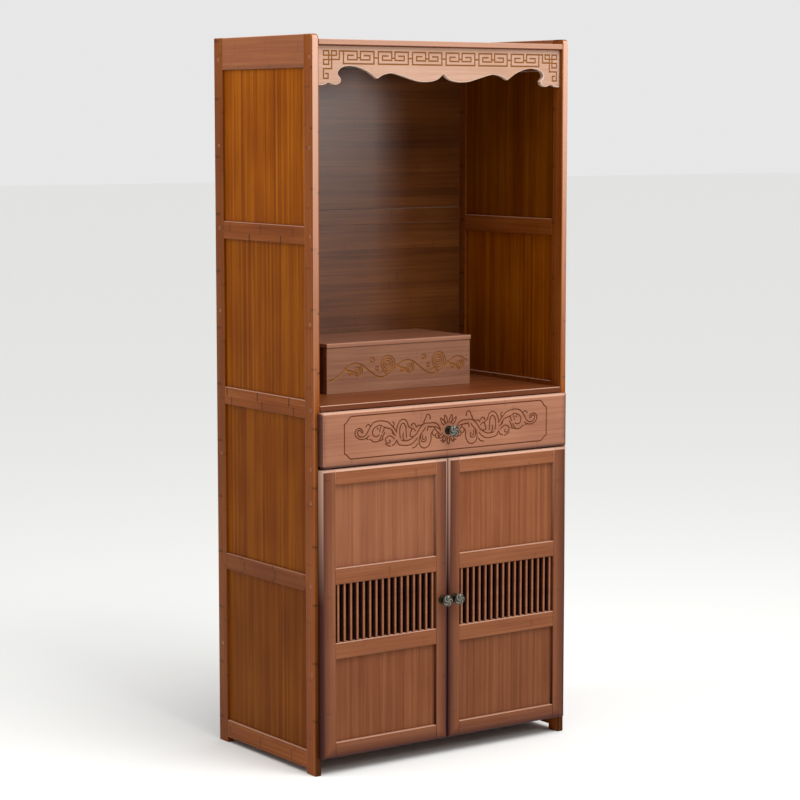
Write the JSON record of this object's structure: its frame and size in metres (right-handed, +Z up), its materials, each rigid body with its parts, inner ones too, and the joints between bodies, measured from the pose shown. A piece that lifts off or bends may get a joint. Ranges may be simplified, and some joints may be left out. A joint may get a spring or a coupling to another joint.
{
  "type": "household altar cabinet",
  "caption": "Tall bamboo altar cabinet: open niche with scalloped fretwork valance and stepped riser, over a carved drawer and a cupboard with slatted doors.",
  "frame": {"origin": "on the ground, under the middle of the whole cabinet with its knobs", "axes": "+Z up, the front faces -Y, +X is to the right of a person facing the front"},
  "size_m": [0.65, 0.4142, 1.5],
  "materials": {
    "bamboo_frame": "carbonised bamboo strip board, satin lacquer",
    "bamboo_panel": "carbonised bamboo strip panel, satin lacquer",
    "bamboo_face": "carbonised bamboo face board with dark rounded edges, satin lacquer",
    "bamboo_pale": "paler carbonised bamboo board with engraved, gold-brown lines",
    "bamboo_box": "plain bamboo drawer board, thinly sealed",
    "aged_bronze": "cast, aged bronze with a rubbed swirl"
  },
  "bodies": {
    "carcass": {"side_left_stile_front": "bamboo_frame", "side_left_stile_back": "bamboo_frame", "side_left_rail_1": "bamboo_frame", "side_left_rail_2": "bamboo_frame", "side_left_rail_3": "bamboo_frame", "side_left_rail_4": "bamboo_frame", "side_left_rail_5": "bamboo_frame", "side_left_panel_1": "bamboo_panel", "side_left_panel_2": "bamboo_panel", "side_left_panel_3": "bamboo_panel", "side_left_panel_4": "bamboo_panel", "side_right_stile_front": "bamboo_frame", "side_right_stile_back": "bamboo_frame", "side_right_rail_1": "bamboo_frame", "side_right_rail_2": "bamboo_frame", "side_right_rail_3": "bamboo_frame", "side_right_rail_4": "bamboo_frame", "side_right_rail_5": "bamboo_frame", "side_right_panel_1": "bamboo_panel", "side_right_panel_2": "bamboo_panel", "side_right_panel_3": "bamboo_panel", "side_right_panel_4": "bamboo_panel", "back_rail_bottom": "bamboo_frame", "back_rail_sill": "bamboo_frame", "back_rail_middle": "bamboo_frame", "back_rail_top": "bamboo_frame", "back_panel_lower": "bamboo_panel", "back_panel_middle": "bamboo_panel", "back_panel_upper": "bamboo_panel", "top_board": "bamboo_frame", "altar_deck": "bamboo_frame", "drawer_shelf": "bamboo_frame", "cupboard_floor": "bamboo_frame", "valance": "bamboo_pale", "riser_front": "bamboo_pale", "riser_end_left": "bamboo_frame", "riser_end_right": "bamboo_frame", "riser_top": "bamboo_frame"},
    "drawer": {"drawer_front": "bamboo_face", "drawer_side_left": "bamboo_box", "drawer_side_right": "bamboo_box", "drawer_back": "bamboo_box", "drawer_bottom": "bamboo_box", "drawer_knob": "aged_bronze"},
    "door_left": {"door_left_stile_hung": "bamboo_face", "door_left_stile_closing": "bamboo_face", "door_left_rail_top": "bamboo_face", "door_left_rail_bottom": "bamboo_face", "door_left_panel_upper": "bamboo_panel", "door_left_panel_lower": "bamboo_panel", "door_left_grille": "bamboo_face", "door_left_knob": "aged_bronze"},
    "door_right": {"door_right_stile_hung": "bamboo_face", "door_right_stile_closing": "bamboo_face", "door_right_rail_top": "bamboo_face", "door_right_rail_bottom": "bamboo_face", "door_right_panel_upper": "bamboo_panel", "door_right_panel_lower": "bamboo_panel", "door_right_grille": "bamboo_face", "door_right_knob": "aged_bronze"}
  },
  "joints": [
    {"name": "drawer_slide", "type": "slide", "parent": "carcass", "child": "drawer", "axis": [0, -1, 0], "range_m": [0, 0.25]},
    {"name": "door_left_hinge", "type": "hinge", "parent": "carcass", "child": "door_left", "pos_m": [-0.3138, -0.17535, 0.3335], "axis": [0, 0, -1], "range_deg": [0, 105]},
    {"name": "door_right_hinge", "type": "hinge", "parent": "carcass", "child": "door_right", "pos_m": [0.3138, -0.17535, 0.3335], "axis": [0, 0, 1], "range_deg": [0, 105]}
  ]
}
